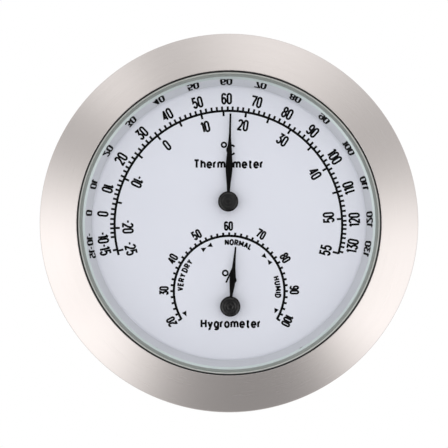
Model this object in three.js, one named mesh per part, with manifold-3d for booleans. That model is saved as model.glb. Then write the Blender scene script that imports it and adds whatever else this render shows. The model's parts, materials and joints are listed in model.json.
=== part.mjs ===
// Dial thermometer and hygrometer for a wall: a brushed steel bezel over a moulded case, a glass lens,
// a polished reflector ring round a white dial, and two coil movements, each driving its own pointer.
// Millimetres. The dial's axis is Y: the back face lies on y = 0 and the dial looks along -Y. +Z is 12 o'clock, +X is 3 o'clock.
// The word "depth" below is the distance in front of the back face, so a point at depth d has y = -d.
import * as THREE from "three";
import { mergeVertices } from "three/addons/utils/BufferGeometryUtils.js";
import Module from "manifold-3d";

const wasm = await Module();
wasm.setup();

// ---- driving dimensions ----
const BEZEL_R = 65; // outer radius of the whole instrument
const BEZEL_T = 0.6; // sheet thickness
const OVERALL_DEPTH = 25.5;
const CASE_BACK = 10; // depth of the case ring's back face, which the bezel's rolled edge grips
const LENS_R = 51.5;
const LENS_T = 2;
const LENS_FRONT = 24.55;
const LENS_SEAT = 22; // depth of the ledge that carries the lens on its gasket
const POCKET_R = 51.8; // lens pocket in the case ring
const GASKET_T = 0.5;
const LEDGE_R = 50.25; // wall round the dial and the reflector ring
const DIAL_R = 50;
const DIAL_BACK = 15.7;
const DIAL_FRONT = 16.5;
const CONE_BASE_R = 47.05; // polished cone of the reflector ring, where it meets the dial
const CONE_TOP_R = 49.3;
const CONE_BASE = 17.2;
const CONE_TOP = 22.05;
const COVER_R = 58;
const COVER_WALL = 2;
const SCREW_CIRCLE_R = 53.2;
const SCREW_ANGLES = [45, 135, 225, 315];
const THERMO_PIVOT = [-0.28, 7.43]; // x, z
const HYGRO_PIVOT = [0.42, -28.72];
const THERMO_REST_DEG = 1.5; // clockwise from 12 o'clock, seen from the front
const HYGRO_REST_DEG = 5.2;
const THERMO_POINTER_L = 30.4;
const HYGRO_POINTER_L = 20.6;
const HUB_R = 3.5;
const SPINDLE_R = 0.75;
const BORE_R = 0.8; // spindle bore in the front bush
const PIVOT_R = 0.5; // turned-down rear end of the spindle
const PIVOT_BORE_R = 0.55;
const KEYHOLE_HEAD_R = 4.5;
const KEYHOLE_SLOT_R = 2.3;
const KEYHOLE_Z = 37; // centre of the keyhole's round entry
const KEYHOLE_TOP_Z = 44.5;

const RING_SEGMENTS = 72;
const SMALL_SEGMENTS = 24;

// ---- solids ----
function solid(geometry) {
  const g = new THREE.BufferGeometry().setAttribute(
    "position",
    (geometry.index ? geometry.toNonIndexed() : geometry).getAttribute("position"),
  );
  const merged = mergeVertices(g, 1e-4);
  const tri = [];
  const ix = merged.index.array;
  for (let i = 0; i < ix.length; i += 3)
    if (ix[i] !== ix[i + 1] && ix[i + 1] !== ix[i + 2] && ix[i] !== ix[i + 2])
      tri.push(ix[i], ix[i + 1], ix[i + 2]);
  const make = (t) =>
    new wasm.Manifold(
      new wasm.Mesh({
        numProp: 3,
        vertProperties: merged.attributes.position.array,
        triVerts: new Uint32Array(t),
      }),
    );
  const made = make(tri);
  if (made.volume() > 0) return made;
  for (let i = 0; i < tri.length; i += 3) [tri[i + 1], tri[i + 2]] = [tri[i + 2], tri[i + 1]];
  return make(tri);
}

function geometryOf(s) {
  const m = s.getMesh();
  const g = new THREE.BufferGeometry();
  g.setAttribute("position", new THREE.BufferAttribute(new Float32Array(m.vertProperties), 3));
  g.setIndex(new THREE.BufferAttribute(new Uint32Array(m.triVerts), 1));
  g.computeVertexNormals();
  return g;
}

// A ring or disc about the dial's axis. profile is [radius, depth] pairs; it closes on itself or on the axis.
function turned(profile, segments = RING_SEGMENTS, close = true) {
  const points = profile.map(([r, d]) => new THREE.Vector2(r, -d));
  if (close) points.push(points[0].clone());
  return solid(new THREE.LatheGeometry(points, segments));
}

function cylinder(x, z, r, d0, d1, segments = SMALL_SEGMENTS) {
  const g = new THREE.CylinderGeometry(r, r, d1 - d0, segments);
  g.translate(x, -(d0 + d1) / 2, z);
  return solid(g);
}

function box(x0, x1, d0, d1, z0, z1) {
  const g = new THREE.BoxGeometry(x1 - x0, d1 - d0, z1 - z0);
  g.translate((x0 + x1) / 2, -(d0 + d1) / 2, (z0 + z1) / 2);
  return solid(g);
}

// A plate between two depths. outline is [x, z] pairs or a THREE.Shape drawn in x and z.
function plate(outline, d0, d1, curveSegments = 12) {
  const shape = Array.isArray(outline)
    ? new THREE.Shape(outline.map(([x, z]) => new THREE.Vector2(x, z)))
    : outline;
  const g = new THREE.ExtrudeGeometry(shape, { depth: d1 - d0, bevelEnabled: false, curveSegments });
  g.rotateX(Math.PI / 2);
  g.translate(0, -d0, 0);
  return solid(g);
}

const root = new THREE.Group();

function piece(group, name, s, colour, roughness, metalness) {
  const mesh = new THREE.Mesh(
    geometryOf(s),
    new THREE.MeshStandardMaterial({ color: colour, roughness, metalness }),
  );
  mesh.name = name;
  group.add(mesh);
  return mesh;
}

const STEEL = [0xc9c5c1, 0.35, 1];
const POLISHED = [0xd6d7d9, 0.08, 1];
const BLACK_PLASTIC = [0x18181a, 0.55, 0];
const BLACK_PAINT = [0x121212, 0.4, 0];
const BRASS = [0xb8923f, 0.3, 1];
const PLAIN_STEEL = [0x9fa2a6, 0.35, 1];

// ---- bezel: stamped steel ring, a convex cone from the lens out to the rim, a skirt, and an edge rolled in behind the case ring ----
const bezelOuter = [
  [51.8, 24.85],
  [51.8, 25.37],
  [51.95, OVERALL_DEPTH],
  [54, 25.03],
  [57, 24.17],
  [60, 23.12],
  [62.4, 22.12],
  [63.55, 21.52],
  [64.7, 20.86],
  [BEZEL_R, 20.3],
  [BEZEL_R, 9.7],
  [64.6, 9.3],
];
const bezelInner = [
  [62.6, 9.3],
  [62.6, 9.88],
  [BEZEL_R - BEZEL_T, 9.88],
  [BEZEL_R - BEZEL_T, 19.7],
  [64.1, 20.35],
  [63.2, 21.05],
  [60.75, 22.18],
  [56.8, 23.6],
  [53.6, 24.6],
  [53.1, 24.85],
];
piece(root, "bezel_ring", turned([...bezelOuter, ...bezelInner]), ...STEEL);

// ---- case ring: moulded ring with the lens pocket, the dial ledge and an open channel under the bezel ----
let caseRing = turned([
  [46.5, 15.6],
  [LEDGE_R, 15.6],
  [LEDGE_R, LENS_SEAT],
  [POCKET_R, LENS_SEAT],
  [POCKET_R, 24.55],
  [52.9, 24.55],
  [53.3, 24.2],
  [53.3, 12],
  [60.2, 12],
  [60.2, 22.2],
  [62, 21.2],
  [62, 12],
  [64, 12],
  [64, CASE_BACK],
  [LEDGE_R - 0.25, CASE_BACK],
  [LEDGE_R - 0.25, 13.6],
  [46.5, 13.6],
]);
const screwPlaces = SCREW_ANGLES.map((a) => {
  const t = THREE.MathUtils.degToRad(a);
  return [SCREW_CIRCLE_R * Math.cos(t), SCREW_CIRCLE_R * Math.sin(t)];
});
for (const [x, z] of screwPlaces) caseRing = caseRing.add(cylinder(x, z, 2.8, 11, 18, 20));
for (const [x, z] of screwPlaces) caseRing = caseRing.subtract(cylinder(x, z, 1.35, 9, 16.6, 12));
piece(root, "case_ring", caseRing, ...BLACK_PLASTIC);

// ---- lens, its gasket and the reflector ring that holds the dial down ----
const lensBack = LENS_FRONT - LENS_T;
piece(
  root,
  "lens",
  turned(
    [
      [0, LENS_FRONT],
      [LENS_R - 0.25, LENS_FRONT],
      [LENS_R, LENS_FRONT - 0.25],
      [LENS_R, lensBack + 0.4],
      [LENS_R - 0.4, lensBack],
      [0, lensBack],
    ],
    RING_SEGMENTS,
    false,
  ),
  0xeaf2f0,
  0.03,
  0,
);
piece(
  root,
  "lens_gasket",
  turned([
    [50.3, LENS_SEAT + 0.03],
    [50.3, LENS_SEAT + GASKET_T],
    [51.6, LENS_SEAT + GASKET_T],
    [51.6, LENS_SEAT + 0.03],
  ]),
  0x7f8783,
  0.6,
  0,
);
// Rubber seal between the glass and the bezel's lip, with a bead that shows as a thin black line.
piece(
  root,
  "lens_seal",
  turned([
    [51.3, 24.62],
    [51.3, 25],
    [51.4, 25.1],
    [51.62, 25.1],
    [51.72, 25],
    [51.72, 24.8],
    [53, 24.8],
    [53, 24.62],
  ]),
  0x101010,
  0.5,
  0,
);
piece(
  root,
  "reflector_ring",
  turned([
    [CONE_BASE_R, CONE_BASE],
    [CONE_TOP_R, CONE_TOP],
    [50, 22.33],
    [50.1, 22.42],
    [50.1, 16.58],
    [47.7, 16.58],
  ]),
  ...POLISHED,
);

// ---- dial plate with a hole for each front bush ----
let dial = turned(
  [
    [0, DIAL_FRONT],
    [DIAL_R, DIAL_FRONT],
    [DIAL_R, DIAL_BACK],
    [0, DIAL_BACK],
  ],
  RING_SEGMENTS,
  false,
);
for (const [x, z] of [THERMO_PIVOT, HYGRO_PIVOT])
  dial = dial.subtract(cylinder(x, z, 1.6, DIAL_BACK - 1, DIAL_FRONT + 1));
piece(root, "dial_plate", dial, 0xe4e6ee, 0.5, 0);

// ---- back cover: moulded pan with vents, a keyhole over a closed pocket, and a hole at each adjuster ----
let cover = turned(
  [
    [0, 0],
    [COVER_R - 0.9, 0],
    [COVER_R, 0.9],
    [COVER_R, 9.9],
    [COVER_R - COVER_WALL, 9.9],
    [COVER_R - COVER_WALL, COVER_WALL],
    [49.8, COVER_WALL],
    [49.8, 11.6],
    [48.2, 11.6],
    [48.2, COVER_WALL],
    [0, COVER_WALL],
  ],
  RING_SEGMENTS,
  false,
);
for (const [x, z] of screwPlaces) cover = cover.add(cylinder(x, z, 3.9, 1, 9.9, 20));
cover = cover.add(box(-7.4, 7.4, 1, 9.4, 30.2, 49.4));
cover = cover.subtract(box(-6, 6, COVER_WALL, 8, 31.6, 48));
cover = cover.subtract(cylinder(0, KEYHOLE_Z, KEYHOLE_HEAD_R, -1, 3, 28));
cover = cover.subtract(box(-KEYHOLE_SLOT_R, KEYHOLE_SLOT_R, -1, 3, KEYHOLE_Z, KEYHOLE_TOP_Z));
cover = cover.subtract(cylinder(0, KEYHOLE_TOP_Z, KEYHOLE_SLOT_R, -1, 3, 20));
for (const [x, z] of screwPlaces) {
  cover = cover.subtract(cylinder(x, z, 2.75, -1, 4.8, 20));
  cover = cover.subtract(cylinder(x, z, 1.55, 4, 11, 12));
}
for (const [x, z] of [THERMO_PIVOT, HYGRO_PIVOT])
  cover = cover.subtract(cylinder(x, z, 4.2, -1, 3, 24));
function slotShape(halfLength, halfWidth) {
  const s = new THREE.Shape();
  s.absarc(halfLength - halfWidth, 0, halfWidth, -Math.PI / 2, Math.PI / 2, false);
  s.absarc(-halfLength + halfWidth, 0, halfWidth, Math.PI / 2, (3 * Math.PI) / 2, false);
  s.closePath();
  return s;
}
const ventRows = [-24, -18, -12, -6, 0, 6, 12, 18];
for (const side of [-1, 1])
  for (const z of ventRows) {
    const g = new THREE.ExtrudeGeometry(slotShape(9, 1.1), { depth: 4, bevelEnabled: false, curveSegments: 4 });
    g.rotateX(Math.PI / 2);
    g.translate(side * 26, 1, z);
    cover = cover.subtract(solid(g));
  }
piece(root, "back_cover", cover, ...BLACK_PLASTIC);

// ---- four cover screws, pan head with a cross recess ----
screwPlaces.forEach(([x, z], i) => {
  let s = turned(
    [
      [0, 3.15],
      [1.7, 3.15],
      [2.2, 3.4],
      [2.4, 3.9],
      [2.4, 4.72],
      [1.28, 4.72],
      [1.28, 15.4],
      [0.6, 16.3],
      [0, 16.3],
    ],
    20,
    false,
  );
  s = s.subtract(box(-1.35, 1.35, 2.5, 4.1, -0.3, 0.3));
  s = s.subtract(box(-0.3, 0.3, 2.5, 4.1, -1.35, 1.35));
  const mesh = piece(root, `cover_screw_${i + 1}`, s, ...PLAIN_STEEL);
  mesh.position.set(x, 0, z);
});

// ---- one coil movement. up is +1 when the bridge's web stands above the pivot, -1 when it hangs below ----
function spiral(r0, r1, turns, thickness, endDeg, d0, d1) {
  const steps = Math.round(turns * 24);
  const outer = [];
  const inner = [];
  const end = THREE.MathUtils.degToRad(endDeg);
  for (let i = 0; i <= steps; i++) {
    const f = i / steps;
    const a = end - (1 - f) * turns * 2 * Math.PI;
    const r = r0 + (r1 - r0) * f;
    outer.push([(r + thickness / 2) * Math.cos(a), (r + thickness / 2) * Math.sin(a)]);
    inner.push([(r - thickness / 2) * Math.cos(a), (r - thickness / 2) * Math.sin(a)]);
  }
  return plate([...outer, ...inner.reverse()], d0, d1);
}

function legShape(up, reach) {
  const s = new THREE.Shape();
  const w = 4.5;
  if (up > 0) {
    s.moveTo(w, 0);
    s.lineTo(w, reach);
    s.lineTo(-w, reach);
    s.lineTo(-w, 0);
    s.absarc(0, 0, w, Math.PI, 2 * Math.PI, false);
  } else {
    s.moveTo(-w, 0);
    s.lineTo(-w, -reach);
    s.lineTo(w, -reach);
    s.lineTo(w, 0);
    s.absarc(0, 0, w, 0, Math.PI, false);
  }
  return s;
}

// Half-widths of a lance pointer along its length: distance from the pivot, half-width.
function pointerShape(stations, tailR) {
  const right = stations.map(([l, w]) => [w, l]);
  const left = stations.map(([l, w]) => [-w, l]).reverse();
  const back = [];
  const w0 = stations[0][1];
  const a0 = Math.asin(w0 / tailR);
  for (let i = 0; i <= 20; i++) {
    const a = Math.PI / 2 + a0 + ((2 * Math.PI - 2 * a0) * i) / 20;
    back.push([tailR * Math.cos(a), tailR * Math.sin(a)]);
  }
  return [...right, ...left, ...back.slice(1, -1)];
}

function movement(prefix, [px, pz], up, coil, pointerPlan, restDeg, coilColour) {
  const fixed = new THREE.Group();
  fixed.position.set(px, 0, pz);
  root.add(fixed);
  const reach = 17;

  // Front bush: its flange bears on the dial, its barrel takes the nut behind the bridge.
  let bush = turned([
    [BORE_R, 17.3],
    [2.3, 17.3],
    [2.6, 17],
    [2.6, 16.57],
    [1.5, 16.57],
    [1.5, 12.75],
    [BORE_R, 12.75],
  ], SMALL_SEGMENTS);
  piece(fixed, `${prefix}_front_bush`, bush, ...BRASS);

  let nut = cylinder(0, 0, 3.1, 13.05, 14.55, 6).subtract(cylinder(0, 0, 1.56, 12, 16));
  piece(fixed, `${prefix}_bush_nut`, nut, ...BRASS);

  // Bridge: one strip bent twice, a leg under the dial, a web, and a leg that carries the rear bearing.
  let bridge = plate(legShape(up, reach), 14.65, 15.6);
  bridge = bridge.add(plate(legShape(up, reach), 4.9, 5.85));
  bridge = bridge.add(
    up > 0 ? box(-4.5, 4.5, 5, 15.5, reach - 1, reach) : box(-4.5, 4.5, 5, 15.5, -reach, -reach + 1),
  );
  bridge = bridge.subtract(cylinder(0, 0, 1.56, 14, 16.2));
  bridge = bridge.subtract(cylinder(0, 0, 2.05, 4, 6.4));
  piece(fixed, `${prefix}_bridge`, bridge, ...PLAIN_STEEL);

  let bearing = turned([
    [PIVOT_BORE_R, 6.45],
    [2.9, 6.45],
    [2.9, 5.92],
    [2, 5.92],
    [2, 3.16],
    [2.6, 3.08],
    [2.6, 2.75],
    [PIVOT_BORE_R, 2.75],
  ], SMALL_SEGMENTS);
  piece(fixed, `${prefix}_rear_bearing`, bearing, ...BRASS);

  const washer = turned([
    [2.12, 4.82],
    [3.5, 4.82],
    [3.5, 4.36],
    [2.12, 4.36],
  ], SMALL_SEGMENTS);
  piece(fixed, `${prefix}_friction_washer`, washer, ...PLAIN_STEEL);

  // Adjuster: an arm that turns stiffly on the rear bearing, kept on by the bearing's staked end, with a slotted collar for a screwdriver.
  const armShape = new THREE.Shape();
  armShape.moveTo(3.9, -1.7);
  armShape.lineTo(coil.stud + 0.2, -1.4);
  armShape.absarc(coil.stud + 0.2, 0, 1.4, -Math.PI / 2, Math.PI / 2, false);
  armShape.lineTo(3.9, 1.7);
  armShape.absarc(0, 0, 4.25, Math.asin(1.7 / 4.25), 2 * Math.PI - Math.asin(1.7 / 4.25), false);
  let adjuster = plate(armShape, 3.25, 4.25, 10);
  adjuster = adjuster.add(cylinder(0, 0, 3.9, 2.3, 3.6));
  adjuster = adjuster.subtract(cylinder(0, 0, 2.9, 2, 3.25));
  adjuster = adjuster.subtract(cylinder(0, 0, 2.1, 1, 6));
  adjuster = adjuster.subtract(box(-6, 6, 2, 3, -0.5, 0.5));
  adjuster = adjuster.subtract(cylinder(coil.stud, 0, 0.62, 2, 6, 12));
  piece(fixed, `${prefix}_adjuster`, adjuster, ...BRASS);

  const stud = turned([
    [0, 3.3],
    [0.58, 3.3],
    [0.58, 4.3],
    [0.9, 4.3],
    [0.9, coil.top + 0.3],
    [0.6, coil.top + 0.6],
    [0, coil.top + 0.6],
  ], 12, false);
  piece(fixed, `${prefix}_coil_stud`, stud, ...BRASS).position.set(coil.stud, 0, 0);

  const r1 = coil.stud - 0.95 - coil.thickness / 2;
  const strip = spiral(2.35 + coil.thickness / 2, r1, coil.turns, coil.thickness, 0, coil.bottom, coil.top);
  piece(fixed, `${prefix}_coil`, strip, ...coilColour);

  // What turns with the pointer.
  const spindle = turned([
    [0, 19.8],
    [0.55, 19.8],
    [0.55, 18.52],
    [SPINDLE_R, 18.52],
    [SPINDLE_R, 6.6],
    [PIVOT_R, 6.55],
    [PIVOT_R, 2.95],
    [0.3, 2.75],
    [0, 2.75],
  ], SMALL_SEGMENTS, false);
  piece(fixed, `${prefix}_spindle`, spindle, ...PLAIN_STEEL);

  const collet = turned([
    [SPINDLE_R + 0.03, 12.3],
    [1.7, 12.3],
    [2.2, 11.8],
    [2.2, 6.75],
    [SPINDLE_R + 0.03, 6.75],
  ], SMALL_SEGMENTS);
  piece(fixed, `${prefix}_collet`, collet, ...BRASS);

  let needle = plate(pointerShape(pointerPlan, 2.4), 18.1, 18.5);
  needle = needle.subtract(cylinder(0, 0, SPINDLE_R + 0.03, 17, 20));
  const needleMesh = piece(fixed, `${prefix}_pointer`, needle, ...BLACK_PAINT);
  needleMesh.rotation.y = THREE.MathUtils.degToRad(restDeg);

  const cap = turned([
    [0, 20.3],
    [2.2, 20.26],
    [3.1, 20.08],
    [HUB_R, 19.7],
    [HUB_R, 18.8],
    [HUB_R - 0.25, 18.55],
    [0.85, 18.55],
    [0.6, 18.8],
    [0.6, 19.92],
    [0, 19.92],
  ], 32, false);
  piece(fixed, `${prefix}_hub_cap`, cap, ...BLACK_PAINT);
}

movement(
  "thermo",
  THERMO_PIVOT,
  1,
  { stud: 13.2, thickness: 0.45, turns: 6, bottom: 7.1, top: 11.6 },
  [
    [2.35, 0.5],
    [3.4, 0.52],
    [8, 0.86],
    [11.6, 1.22],
    [13.2, 1.22],
    [16.5, 0.95],
    [20, 0.62],
    [22.6, 0.4],
    [26, 0.36],
    [THERMO_POINTER_L, 0.34],
  ],
  THERMO_REST_DEG,
  [0xa8a29a, 0.35, 1],
);
movement(
  "hygro",
  HYGRO_PIVOT,
  -1,
  { stud: 12.2, thickness: 0.55, turns: 5, bottom: 7.1, top: 12 },
  [
    [2.35, 0.48],
    [3.6, 0.5],
    [6.4, 0.88],
    [8.8, 1.08],
    [10.2, 1.02],
    [13, 0.6],
    [16, 0.36],
    [18.4, 0.25],
    [HYGRO_POINTER_L, 0.16],
  ],
  HYGRO_REST_DEG,
  [0xa5713a, 0.5, 0.4],
);

export default root;
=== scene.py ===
import json
import math

import bmesh
import bpy
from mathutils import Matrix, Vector
from mathutils.geometry import delaunay_2d_cdt


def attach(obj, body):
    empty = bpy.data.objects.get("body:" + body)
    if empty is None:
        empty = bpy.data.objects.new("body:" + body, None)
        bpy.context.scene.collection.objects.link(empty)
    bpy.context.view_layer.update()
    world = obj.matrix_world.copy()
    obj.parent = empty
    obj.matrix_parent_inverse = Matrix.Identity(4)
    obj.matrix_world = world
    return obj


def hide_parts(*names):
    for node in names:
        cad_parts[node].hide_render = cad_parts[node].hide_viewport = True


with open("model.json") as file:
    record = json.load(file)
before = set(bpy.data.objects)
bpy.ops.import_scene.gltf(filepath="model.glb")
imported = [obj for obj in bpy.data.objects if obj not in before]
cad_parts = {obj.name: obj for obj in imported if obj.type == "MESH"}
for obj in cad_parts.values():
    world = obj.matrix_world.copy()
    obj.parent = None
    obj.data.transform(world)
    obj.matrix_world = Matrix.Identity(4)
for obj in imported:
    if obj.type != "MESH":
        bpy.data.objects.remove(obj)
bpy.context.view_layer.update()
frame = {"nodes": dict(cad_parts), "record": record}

# Lengths below are millimetres unless a name says otherwise. "Depth" is the distance in front of the back face, so depth d is y = -d.
MM = 0.001
THERMO = (-0.28, 7.43)  # pivots, x and z
HYGRO = (0.42, -28.72)
THERMO_DEG = 1.5  # pointers at rest, clockwise from 12 o'clock
HYGRO_DEG = 5.2
DIAL_FRONT = 16.5


# ------------------------------------------------------------------ camera, floor, light
scene = bpy.context.scene
cam_data = bpy.data.cameras.new("camera")
cam_data.sensor_width = 36.0
cam_data.lens = 105.2
cam_data.clip_start, cam_data.clip_end = 0.01, 20.0
cam = bpy.data.objects.new("camera", cam_data)
scene.collection.objects.link(cam)
cam.location = (-1.72 * MM, -469.8 * MM, -0.33 * MM)
cam.rotation_euler = (math.pi / 2, 0, 0)
scene.camera = cam
scene.view_settings.view_transform = "Standard"
scene.view_settings.look = "None"

# Softboxes round the instrument: direction in degrees as seen from the front (0 right, 90 up), tightness, strength.
AMBIENT = 0.36
SOFTBOXES = [
    (188.0, 16.0, 1.16),
    (226.0, 30.0, 0.95),
    (320.5, 44.0, 0.80),
    (350.5, 18.5, 1.06),
    (75.0, 9.0, 0.82),
    (130.0, 60.0, 0.62),
]
BEHIND_CAMERA = 0.06  # the dark end of the studio, straight in front of the dial


class Nodes:
    """Short calls for building a node tree."""

    def __init__(self, tree):
        self.t = tree
        tree.nodes.clear()

    def add(self, kind, **settings):
        n = self.t.nodes.new(kind)
        for k, v in settings.items():
            if k.startswith("i_"):
                n.inputs[k[2:].replace("_", " ")].default_value = v
            else:
                setattr(n, k, v)
        return n

    def link(self, a, b):
        self.t.links.new(a, b)

    def math(self, op, a, b=None, c=None, clamp=False):
        n = self.t.nodes.new("ShaderNodeMath")
        n.operation, n.use_clamp = op, clamp
        for i, v in enumerate((a, b, c)):
            if v is None:
                continue
            if isinstance(v, (int, float)):
                n.inputs[i].default_value = v
            else:
                self.link(v, n.inputs[i])
        return n.outputs[0]

    def noise(self, vector, scale, detail=3.0, roughness=0.5):
        n = self.add("ShaderNodeTexNoise")
        n.inputs["Scale"].default_value = scale
        n.inputs["Detail"].default_value = detail
        n.inputs["Roughness"].default_value = roughness
        self.link(vector, n.inputs["Vector"])
        return n.outputs["Fac"]

    def remap(self, value, lo, hi, new_lo, new_hi):
        n = self.add("ShaderNodeMapRange")
        for k, v in (("From Min", lo), ("From Max", hi), ("To Min", new_lo), ("To Max", new_hi)):
            n.inputs[k].default_value = v
        self.link(value, n.inputs["Value"])
        return n.outputs["Result"]

    def ramp(self, fac, stops):
        n = self.add("ShaderNodeValToRGB")
        e = n.color_ramp.elements
        while len(e) < len(stops):
            e.new(0.5)
        for el, (p, c) in zip(e, stops):
            el.position = p
            el.color = (*c, 1.0)
        self.link(fac, n.inputs["Fac"])
        return n.outputs["Color"]

    def bump(self, height, distance, strength=1.0, normal=None):
        n = self.add("ShaderNodeBump")
        n.inputs["Strength"].default_value = strength
        n.inputs["Distance"].default_value = distance
        self.link(height, n.inputs["Height"])
        if normal is not None:
            self.link(normal, n.inputs["Normal"])
        return n.outputs["Normal"]


world = bpy.data.worlds.new("studio")
scene.world = world
world.use_nodes = True
w = Nodes(world.node_tree)
direction = w.add("ShaderNodeTexCoord").outputs["Generated"]
split = w.add("ShaderNodeSeparateXYZ")
w.link(direction, split.inputs[0])
dx, dy, dz = split.outputs
side = w.math("SQRT", w.math("ADD", w.math("MULTIPLY", dx, dx), w.math("MULTIPLY", dz, dz)))
safe = w.math("MAXIMUM", side, 1e-4)
ux, uz = w.math("DIVIDE", dx, safe), w.math("DIVIDE", dz, safe)
light = None
for angle, tightness, strength in SOFTBOXES:
    a = math.radians(angle)
    facing = w.math("ADD", w.math("MULTIPLY", ux, math.cos(a)), w.math("MULTIPLY", uz, math.sin(a)))
    half = w.math("MULTIPLY_ADD", facing, 0.5, 0.5)
    lobe = w.math("MULTIPLY", w.math("POWER", w.math("MAXIMUM", half, 1e-5), tightness), strength)
    light = lobe if light is None else w.math("ADD", light, lobe)
light = w.math("ADD", light, AMBIENT)
# The softboxes stand in a ring. Close round the viewing axis the studio is dark.
ring = w.add("ShaderNodeMapRange", interpolation_type="SMOOTHSTEP")
ring.inputs["From Min"].default_value = 0.115
ring.inputs["From Max"].default_value = 0.18
w.link(side, ring.inputs["Value"])
front = w.math("ADD", w.math("MULTIPLY", w.math("SUBTRACT", light, BEHIND_CAMERA), ring.outputs["Result"]), BEHIND_CAMERA)
# Behind the instrument the room is plain white.
back = w.add("ShaderNodeMapRange", interpolation_type="SMOOTHSTEP")
back.inputs["From Min"].default_value = -0.15
back.inputs["From Max"].default_value = 0.35
w.link(dy, back.inputs["Value"])
level = w.math("ADD", front, w.math("MULTIPLY", w.math("SUBTRACT", 0.9, front), back.outputs["Result"]))
studio = w.add("ShaderNodeBackground")
w.link(level, studio.inputs["Strength"])
studio.inputs["Color"].default_value = (1.0, 0.985, 0.975, 1.0)
plain = w.add("ShaderNodeBackground")
plain.inputs["Color"].default_value = (1.0, 1.0, 1.0, 1.0)
plain.inputs["Strength"].default_value = 1.0
mix = w.add("ShaderNodeMixShader")
w.link(w.add("ShaderNodeLightPath").outputs["Is Camera Ray"], mix.inputs[0])
w.link(studio.outputs[0], mix.inputs[1])
w.link(plain.outputs[0], mix.inputs[2])
w.link(mix.outputs[0], w.add("ShaderNodeOutputWorld").inputs["Surface"])


# ------------------------------------------------------------------ materials
def material(name):
    m = bpy.data.materials.new(name)
    m.use_nodes = True
    n = Nodes(m.node_tree)
    out = n.add("ShaderNodeOutputMaterial")
    p = n.add("ShaderNodeBsdfPrincipled")
    n.link(p.outputs[0], out.inputs["Surface"])
    return m, n, p


def set_inputs(p, **values):
    for k, v in values.items():
        key = k.replace("_", " ")
        p.inputs[key].default_value = (*v, 1.0) if isinstance(v, tuple) else v


def object_mm(n):
    """Object coordinates in millimetres."""
    c = n.add("ShaderNodeTexCoord").outputs["Object"]
    s = n.add("ShaderNodeVectorMath", operation="SCALE")
    s.inputs["Scale"].default_value = 1000.0
    n.link(c, s.inputs[0])
    return s.outputs[0]


def round_coords(n, centre=(0.0, 0.0), radial=1.0, around=1.0, along=1.0):
    """A vector that is stretched round an axis along Y: fine in radius, slow in angle."""
    mm = object_mm(n)
    s = n.add("ShaderNodeSeparateXYZ")
    n.link(mm, s.inputs[0])
    x = n.math("SUBTRACT", s.outputs[0], centre[0])
    z = n.math("SUBTRACT", s.outputs[2], centre[1])
    r = n.math("SQRT", n.math("ADD", n.math("MULTIPLY", x, x), n.math("MULTIPLY", z, z)))
    safe_r = n.math("MAXIMUM", r, 0.01)
    v = n.add("ShaderNodeCombineXYZ")
    n.link(n.math("MULTIPLY_ADD", r, radial, n.math("MULTIPLY", s.outputs[1], along)), v.inputs[0])
    n.link(n.math("MULTIPLY", n.math("DIVIDE", x, safe_r), around), v.inputs[1])
    n.link(n.math("MULTIPLY", n.math("DIVIDE", z, safe_r), around), v.inputs[2])
    return v.outputs[0], r


def mat_brushed_ring():
    """Stainless sheet brushed round its axis: fine rings that last part of a turn, and a satin sheen across them."""
    m, n, p = material("brushed_ring")
    fine, _ = round_coords(n, radial=9.0, around=5.0, along=9.0)
    lines = n.noise(fine, 1.0, 4.0, 0.6)
    broad, _ = round_coords(n, radial=1.6, around=2.0, along=1.6)
    bands = n.noise(broad, 1.0, 2.0, 0.5)
    both = n.math("MULTIPLY_ADD", lines, 0.7, n.math("MULTIPLY", bands, 0.3))
    n.link(n.ramp(both, [(0.3, (0.695, 0.655, 0.640)), (0.7, (0.722, 0.683, 0.669))]), p.inputs["Base Color"])
    n.link(n.remap(both, 0.3, 0.7, 0.28, 0.245), p.inputs["Roughness"])
    n.link(n.bump(lines, 0.004 * MM, 0.08), p.inputs["Normal"])
    set_inputs(p, Metallic=1.0, Anisotropic=0.93, Anisotropic_Rotation=0.25)
    t = n.add("ShaderNodeTangent", direction_type="RADIAL", axis="Y")
    n.link(t.outputs[0], p.inputs["Tangent"])
    return m


def mat_mirror_ring():
    """Polished bright ring with faint turning marks and a little haze."""
    m, n, p = material("polished_ring")
    v, _ = round_coords(n, radial=6.0, around=3.0, along=6.0)
    marks = n.noise(v, 1.0, 3.0, 0.6)
    n.link(n.ramp(marks, [(0.3, (0.690, 0.696, 0.695)), (0.7, (0.720, 0.726, 0.724))]), p.inputs["Base Color"])
    n.link(n.remap(marks, 0.3, 0.7, 0.035, 0.055), p.inputs["Roughness"])
    n.link(n.bump(marks, 0.0006 * MM, 0.3), p.inputs["Normal"])
    set_inputs(p, Metallic=1.0)
    return m


def mat_ring_edge():
    """The bright ring's bevelled edge: matt where it was turned off."""
    m, n, p = material("ring_edge_satin")
    v, _ = round_coords(n, radial=9.0, around=4.0, along=9.0)
    marks = n.noise(v, 1.0, 3.0, 0.6)
    n.link(n.ramp(marks, [(0.3, (0.66, 0.73, 0.735)), (0.7, (0.71, 0.78, 0.785))]), p.inputs["Base Color"])
    n.link(n.remap(marks, 0.3, 0.7, 0.52, 0.62), p.inputs["Roughness"])
    set_inputs(p, Metallic=0.75)
    return m


def mat_dial():
    """Cool white satin lacquer: very slight mottling and orange peel."""
    m, n, p = material("dial_lacquer")
    mm = object_mm(n)
    cloud = n.noise(mm, 0.05, 3.0, 0.5)
    n.link(n.ramp(cloud, [(0.3, (0.828, 0.846, 0.940)), (0.7, (0.846, 0.864, 0.955))]), p.inputs["Base Color"])
    n.link(n.remap(n.noise(mm, 2.5, 3.0), 0.3, 0.7, 0.42, 0.5), p.inputs["Roughness"])
    n.link(n.bump(n.noise(mm, 3.0, 2.0), 0.003 * MM, 0.4), p.inputs["Normal"])
    set_inputs(p, Specular_IOR_Level=0.4)
    return m


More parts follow.
